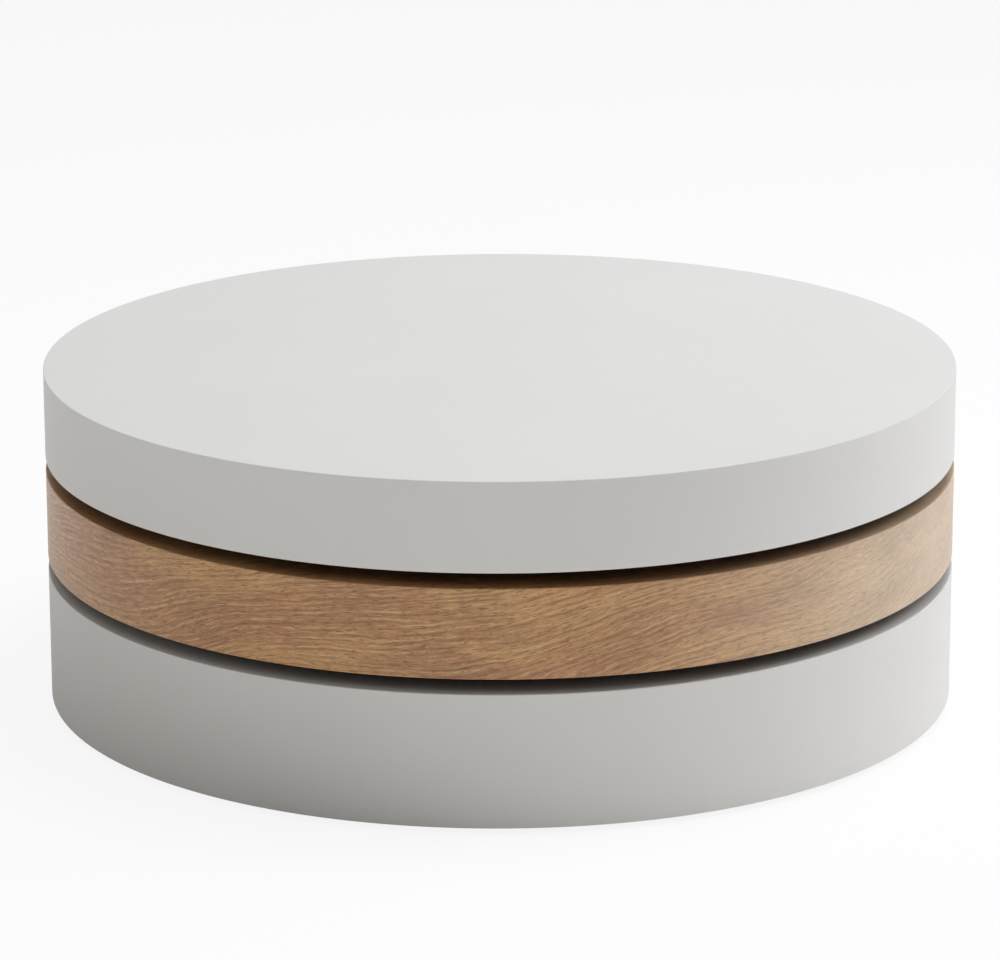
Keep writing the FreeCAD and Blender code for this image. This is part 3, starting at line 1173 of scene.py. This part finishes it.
@dataclass(frozen=True)
class Feet:
    """Nylon feet under the base, each with a screw in its hollow."""

    diameter: float = 30 * MM
    count: int = 6
    ease: float = 1.2 * MM
    hollow: float = 6.0 * MM
    hollow_depth: float = 3.0 * MM
    hollow_ease: float = 0.4 * MM
    steps: int = 72

    def foot(self, height: float) -> Skin:
        """A disc with a round lower edge and a screw hollow, standing on z = 0.

        Args:
            height: the disc's.

        Returns:
            The surface.
        """
        radius = self.diameter / 2
        return revolved([
            (0.0, self.hollow_depth),
            (self.hollow, self.hollow_depth),
            (self.hollow, self.hollow_ease),
            (self.hollow + self.hollow_ease, 0.0),
            *((radius - inset, drop) for inset, drop in edge_arc(self.ease)),
            (radius, height),
            (0.0, height),
        ], self.steps)

    def make(self, maker: Maker) -> None:
        """Build all feet and their screws.

        Args:
            maker: what registers the pieces.
        """
        low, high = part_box("base_feet")
        ring = high.y - self.diameter / 2
        bearings = [FULL * index / self.count for index in range(self.count)]
        places = [(ring * math.sin(turn), ring * math.cos(turn)) for turn in bearings]
        foot = self.foot(high.z - low.z)
        feet = Skin.joined(foot.shifted(x, y, low.z) for x, y in places)
        maker.piece(feet, "base_feet_moulded", "base", "grey_nylon", ["base_feet"])
        heads = Screws().row(places, self.hollow_depth, down=True)
        maker.piece(heads, "base_foot_screws", "base", "zinc_plated_steel")


@dataclass(frozen=True)
class Glides:
    """Nylon glides under a swinging drum, domed so that they ride up on the drum below."""

    tier: str
    diameter: float = 24 * MM
    dome: float = 3.2 * MM
    flat: float = 2.6
    first_ring: float = 0.08
    rings: int = 12
    steps: int = 72

    def glide(self, low: float, high: float) -> Skin:
        """A disc from one height to another with a domed sole.

        Along a radius p from 0 to 1 the sole rises by dome (1 - (1 - p^flat)^(1/2)).

        Args:
            low: height of the sole's middle.
            high: height of the flat top.

        Returns:
            The surface.
        """
        radius = self.diameter / 2
        share = np.linspace(self.first_ring, 1.0, self.rings)
        rise = self.dome * (1 - np.sqrt(1 - share**self.flat))
        sole = zip(radius * share, low + rise)
        return revolved([(0.0, low), *sole, (radius, high), (0.0, high)], self.steps)

    def make(self, maker: Maker) -> None:
        """Build the pair.

        Args:
            maker: what registers the pieces.
        """
        node = f"{self.tier}_glides"
        low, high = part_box(node)
        glide = self.glide(low.z, high.z)
        spread = high.x - self.diameter / 2
        middle = (low.y + high.y) / 2
        pair = Skin.joined(glide.shifted(side * spread, middle) for side in (-1, 1))
        maker.piece(pair, f"{node}_moulded", self.tier, "grey_nylon", [node])


@dataclass(frozen=True)
class Bolt:
    """The pivot bolt: hexagon head with a round chamfer, plain shank, thread and bevelled end.

    face and chamfer are shares of the head's half width across its flats.
    """

    head_height: float = 12.5 * MM
    corner: float = 0.8 * MM
    face: float = 0.90
    chamfer: float = 0.96
    face_rise: float = 0.25 * MM
    chamfer_rise: float = 2.2 * MM
    seat_inset: float = 0.5 * MM
    seat_rise: float = 0.6 * MM
    fillet: float = 0.6 * MM
    fillet_rise: float = 0.8 * MM
    undersize: float = 0.02 * MM
    thread_length: float = 46 * MM
    pitch: float = 2.5 * MM
    slices: int = 8
    thread_depth: float = 1.3 * MM
    bevel: float = 2 * MM
    bevel_slope: float = 0.6
    end_inset: float = 4 * MM
    steps: int = 192

    def _thread(self, radius: float, start: float, end: float) -> list[Level]:
        """The thread's levels.

        The radius is shank - depth w, where w is a triangle wave of height / pitch - bearing / (2 pi),
        so that the ridge winds round as it climbs.  It grows over the first turn and narrows with
        the bevel at the end.

        Args:
            radius: the shank's.
            start: height of the thread's lower end.
            end: height of the bolt's end.

        Returns:
            Outlines, some to each turn, in the order of their height.
        """
        bearing = angles(self.steps)
        heights = np.arange(start + self.pitch / self.slices, end, self.pitch / self.slices)
        climb = (heights - start)[:, None] / self.pitch
        wave = 1 - np.abs((climb - bearing / FULL) % 1.0 * 2 - 1)
        narrow = self.bevel_slope * np.maximum(heights - (end - self.bevel), 0.0)[:, None]
        reach = radius - self.thread_depth * np.minimum(climb, 1.0) * wave - narrow
        return [Level(outline, float(z)) for outline, z in zip(plan(reach, bearing), heights)]

    def skin(self, pivot: Pivot) -> Skin:
        """The whole bolt, from the head's face up to its end.

        Args:
            pivot: its axis and shank.

        Returns:
            The surface.
        """
        low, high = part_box("pivot_bolt")
        apothem = (high.y - low.y) / 2
        radius = pivot.shank - self.undersize
        seat = low.z + self.head_height
        start = high.z - self.thread_length

        def ring(size: float, height: float) -> Level:
            """A round level."""
            return Level(circle(size, self.steps), height)

        def hexagon(inset: float, height: float) -> Level:
            """A six-sided level with slightly round corners, drawn in by an inset."""
            return Level(rounded_polygon(6, apothem - inset, self.corner, self.steps), height)

        return loft([
            ring(0.0, low.z),
            ring(self.face * apothem, low.z),
            ring(self.chamfer * apothem, low.z + self.face_rise),
            hexagon(0.0, low.z + self.chamfer_rise),
            hexagon(0.0, seat - self.seat_rise),
            hexagon(self.seat_inset, seat),
            ring(radius + self.fillet, seat),
            ring(radius, seat + self.fillet_rise),
            ring(radius, start),
            *self._thread(radius, start, high.z),
            ring(radius - self.end_inset, high.z),
            ring(0.0, high.z),
        ]).shifted(0.0, pivot.back)

    def make(self, maker: Maker, pivot: Pivot) -> None:
        """Build the bolt."""
        maker.piece(self.skin(pivot), "pivot_bolt_turned", "base", "zinc_plated_steel", ["pivot_bolt"])


@dataclass(frozen=True)
class Nut:
    """The self-locking hexagon nut, with round chamfers and a narrower collar on top.

    face, neck, shoulder and lip are shares of the half width across its flats.
    """

    corner: float = 0.8 * MM
    face: float = 0.94
    chamfer_rise: float = 1.6 * MM
    collar_height: float = 4 * MM
    neck: float = 0.86
    neck_rise: float = 0.4 * MM
    shoulder: float = 0.84
    shoulder_drop: float = 1.0 * MM
    lip: float = 0.78
    steps: int = 192

    def make(self, maker: Maker, pivot: Pivot) -> None:
        """Build the nut as a closed ring round the shank.

        Args:
            maker: what registers the pieces.
            pivot: the bolt's axis and shank.
        """
        low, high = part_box("pivot_nut")
        apothem = (high.y - low.y) / 2
        collar = high.z - self.collar_height
        bore = circle(pivot.shank, self.steps)
        hexagon = rounded_polygon(6, apothem, self.corner, self.steps)

        def ring(share: float, height: float) -> Level:
            """A round level, by its share of the half width."""
            return Level(circle(share * apothem, self.steps), height)

        nut = loft([
            Level(bore, low.z),
            ring(self.face, low.z),
            Level(hexagon, low.z + self.chamfer_rise),
            Level(hexagon, collar - self.chamfer_rise),
            ring(self.face, collar),
            ring(self.neck, collar + self.neck_rise),
            ring(self.shoulder, high.z - self.shoulder_drop),
            ring(self.lip, high.z),
            Level(bore, high.z),
        ], closed=True).shifted(0.0, pivot.back)
        maker.piece(nut, "pivot_nut_turned", "base", "zinc_plated_steel", ["pivot_nut"])


@dataclass(frozen=True)
class Washers:
    """The bolt's two square washers, with eased corners and edges."""

    thickness: float = 3 * MM
    corner: float = 1.8 * MM
    edge: float = 0.3 * MM
    play: float = 0.05 * MM
    steps: int = 192

    def washer(self, half: float, bore: float, bottom: float) -> Skin:
        """One washer, as a closed ring.

        Args:
            half: half its width.
            bore: radius of its hole.
            bottom: height of its lower face.

        Returns:
            The surface.
        """
        top = bottom + self.thickness
        hole = circle(bore, self.steps)
        full = rounded_polygon(4, half, self.corner, self.steps)
        eased = rounded_polygon(4, half - self.edge, self.corner - self.edge, self.steps)
        return loft([
            Level(hole, bottom, Chart.PLAN),
            Level(eased, bottom),
            Level(full, bottom + self.edge),
            Level(full, top - self.edge),
            Level(eased, top, Chart.PLAN),
            Level(hole, top),
        ], closed=True)

    def make(self, maker: Maker, pivot: Pivot) -> None:
        """Build both, one over the head and one under the nut.

        Args:
            maker: what registers the pieces.
            pivot: the bolt's axis and shank.
        """
        low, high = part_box("pivot_washers")
        half = (high.x - low.x) / 2
        bottoms = (low.z, high.z - self.thickness)
        both = Skin.joined(self.washer(half, pivot.shank + self.play, bottom) for bottom in bottoms)
        maker.piece(both.shifted(0.0, pivot.back), "pivot_washers_pressed", "base",
                    "zinc_plated_steel", ["pivot_washers"])


# ---------------------------------------------------------------- studio

@dataclass(frozen=True)
class Softbox:
    """A square lamp that faces a point.

    bearing, from the front towards the right, and elevation are in degrees; power is in watts.  A
    lamp without gloss lights a surface but doesn't mirror in it.
    """

    name: str
    bearing: float
    elevation: float
    size: float
    power: float
    tone: Colour
    gloss: bool = True
    distance: float = 3.4

    def place(self, target: Vector) -> None:
        """Hang the lamp and turn it to a point.

        Args:
            target: the point.
        """
        lamp = bpy.data.lights.new(self.name, "AREA")
        lamp.shape = "SQUARE"
        lamp.size = self.size
        lamp.energy = self.power
        lamp.color = self.tone
        holder = bpy.data.objects.new(self.name, lamp)
        holder.visible_camera = False
        holder.visible_glossy = self.gloss
        bpy.context.scene.collection.objects.link(holder)
        turn, rise = math.radians(self.bearing), math.radians(self.elevation)
        level = math.cos(rise)
        way = Vector((math.sin(turn) * level, -math.cos(turn) * level, math.sin(rise)))
        holder.location = target + way * self.distance
        holder.rotation_euler = way.to_track_quat("Z", "Y").to_euler()


@dataclass(frozen=True)
class Studio:
    """Floor, sky, lamps and camera.

    pitch and roll are in degrees; haze is the share of height over which the sky brightens from
    horizon to zenith; aim is the height of the point that the lamps face.
    """

    eye: tuple[float, float, float] = (0.0, -4.229, 1.385)
    pitch: float = 15.80
    roll: float = -0.165
    focal_pixels: float = 4964.0
    floor_size: float = 30.0
    horizon: float = 0.02
    zenith: float = 0.52
    haze: Span = (0.25, 0.85)
    sky_tone: Colour = (1.0, 0.99, 0.975)
    aim: float = 0.15
    lamps: tuple[Softbox, ...] = (
        Softbox("overhead_softbox", 100.0, 78.0, 1.5, 46.5, (0.99, 0.995, 1.0)),
        Softbox("right_high_softbox", 106.0, 36.0, 1.6, 33.5, (0.97, 0.985, 1.0), gloss=False),
        Softbox("right_low_softbox", 100.0, 14.0, 1.2, 6.0, (0.98, 0.99, 1.0), gloss=False),
        Softbox("front_fill", 0.0, 20.0, 1.2, 3.0, (1.0, 0.99, 0.965), gloss=False),
        Softbox("left_fill", -76.0, 16.0, 1.2, 9.0, (1.0, 0.94, 0.87), gloss=False),
    )

    def camera(self) -> None:
        """The camera, level apart from its pitch and a hint of roll."""
        data = bpy.data.cameras.new("camera")
        data.sensor_width = SENSOR_WIDTH
        data.sensor_fit = "HORIZONTAL"
        data.lens = self.focal_pixels / IMAGE_WIDTH * SENSOR_WIDTH
        holder = bpy.data.objects.new("camera", data)
        bpy.context.scene.collection.objects.link(holder)
        holder.location = self.eye
        holder.rotation_mode = "XYZ"
        level = Euler((math.radians(90 - self.pitch), 0.0, 0.0)).to_matrix()
        tilt = Euler((0.0, 0.0, math.radians(self.roll))).to_matrix()
        holder.rotation_euler = (level @ tilt).to_euler()
        bpy.context.scene.camera = holder

    def world(self) -> None:
        """A sky that is dim on the table, dimmest at the horizon, and white to the eye."""
        shader = Shader(bpy.data.worlds.new("studio_sky"))
        way = shader.node("ShaderNodeTexCoord", {}, {}).outputs["Generated"]
        height = Term(shader, shader.node("ShaderNodeSeparateXYZ", {}, {0: way}).outputs[2])
        level = self.horizon + (self.zenith - self.horizon) * height.step(*self.haze)
        seen = shader.seen()
        tone = shader.mix(seen, self.sky_tone, WHITE)
        strength = seen + (1.0 - seen) * level
        back = shader.node("ShaderNodeBackground", {}, {"Color": tone, "Strength": strength})
        shader.node("ShaderNodeOutputWorld", {}, {"Surface": back.outputs[0]})
        bpy.context.scene.world = shader.holder

    def floor(self) -> None:
        """A wide flat floor at height zero."""
        half = self.floor_size / 2
        mesh = bpy.data.meshes.new("studio_floor")
        corners = [(-half, -half, 0.0), (half, -half, 0.0), (half, half, 0.0), (-half, half, 0.0)]
        mesh.from_pydata(corners, [], [(0, 1, 2, 3)])
        mesh.materials.append(StudioFloor().material())
        ground = bpy.data.objects.new("studio_floor", mesh)
        bpy.context.scene.collection.objects.link(ground)

    def make(self) -> None:
        """Set up everything round the table."""
        bpy.context.scene.view_settings.view_transform = "Standard"
        self.camera()
        self.world()
        self.floor()
        target = Vector((0.0, 0.0, self.aim))
        for lamp in self.lamps:
            lamp.place(target)


# ---------------------------------------------------------------- assembly

def dress_nodes(palette: Palette) -> None:
    """Give every CAD node the finish of its slot in the record."""
    for part in frame["record"]["subparts"]:
        palette.dress(frame["nodes"][part["node"]], part["material_slot"])


def main() -> None:
    """Build the studio and the table, part by part."""
    logging.basicConfig(level=logging.INFO, format="%(name)s: %(message)s")
    Studio().make()
    palette = Palette()
    maker = Maker(palette)
    pivot = Pivot.read()
    base_recess = 30 * MM
    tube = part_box("middle_pivot_tube")[1].x
    dress_nodes(palette)
    Drum("base", "white_lacquer", bore=pivot.passing, hole=base_recess).make(maker, pivot)
    Drum("middle", "oak_veneer", bore=tube, hole=tube).make(maker, pivot)
    Drum("top", "white_lacquer", bore=0.0, hole=tube).make(maker, pivot)
    Race("lower", below="base", above="middle").make(maker, pivot)
    Race("upper", below="middle", above="top").make(maker, pivot)
    Feet().make(maker)
    Glides("middle").make(maker)
    Glides("top").make(maker)
    Bolt().make(maker, pivot)
    Nut().make(maker, pivot)
    Washers().make(maker, pivot)


if __name__ == "__main__":
    main()
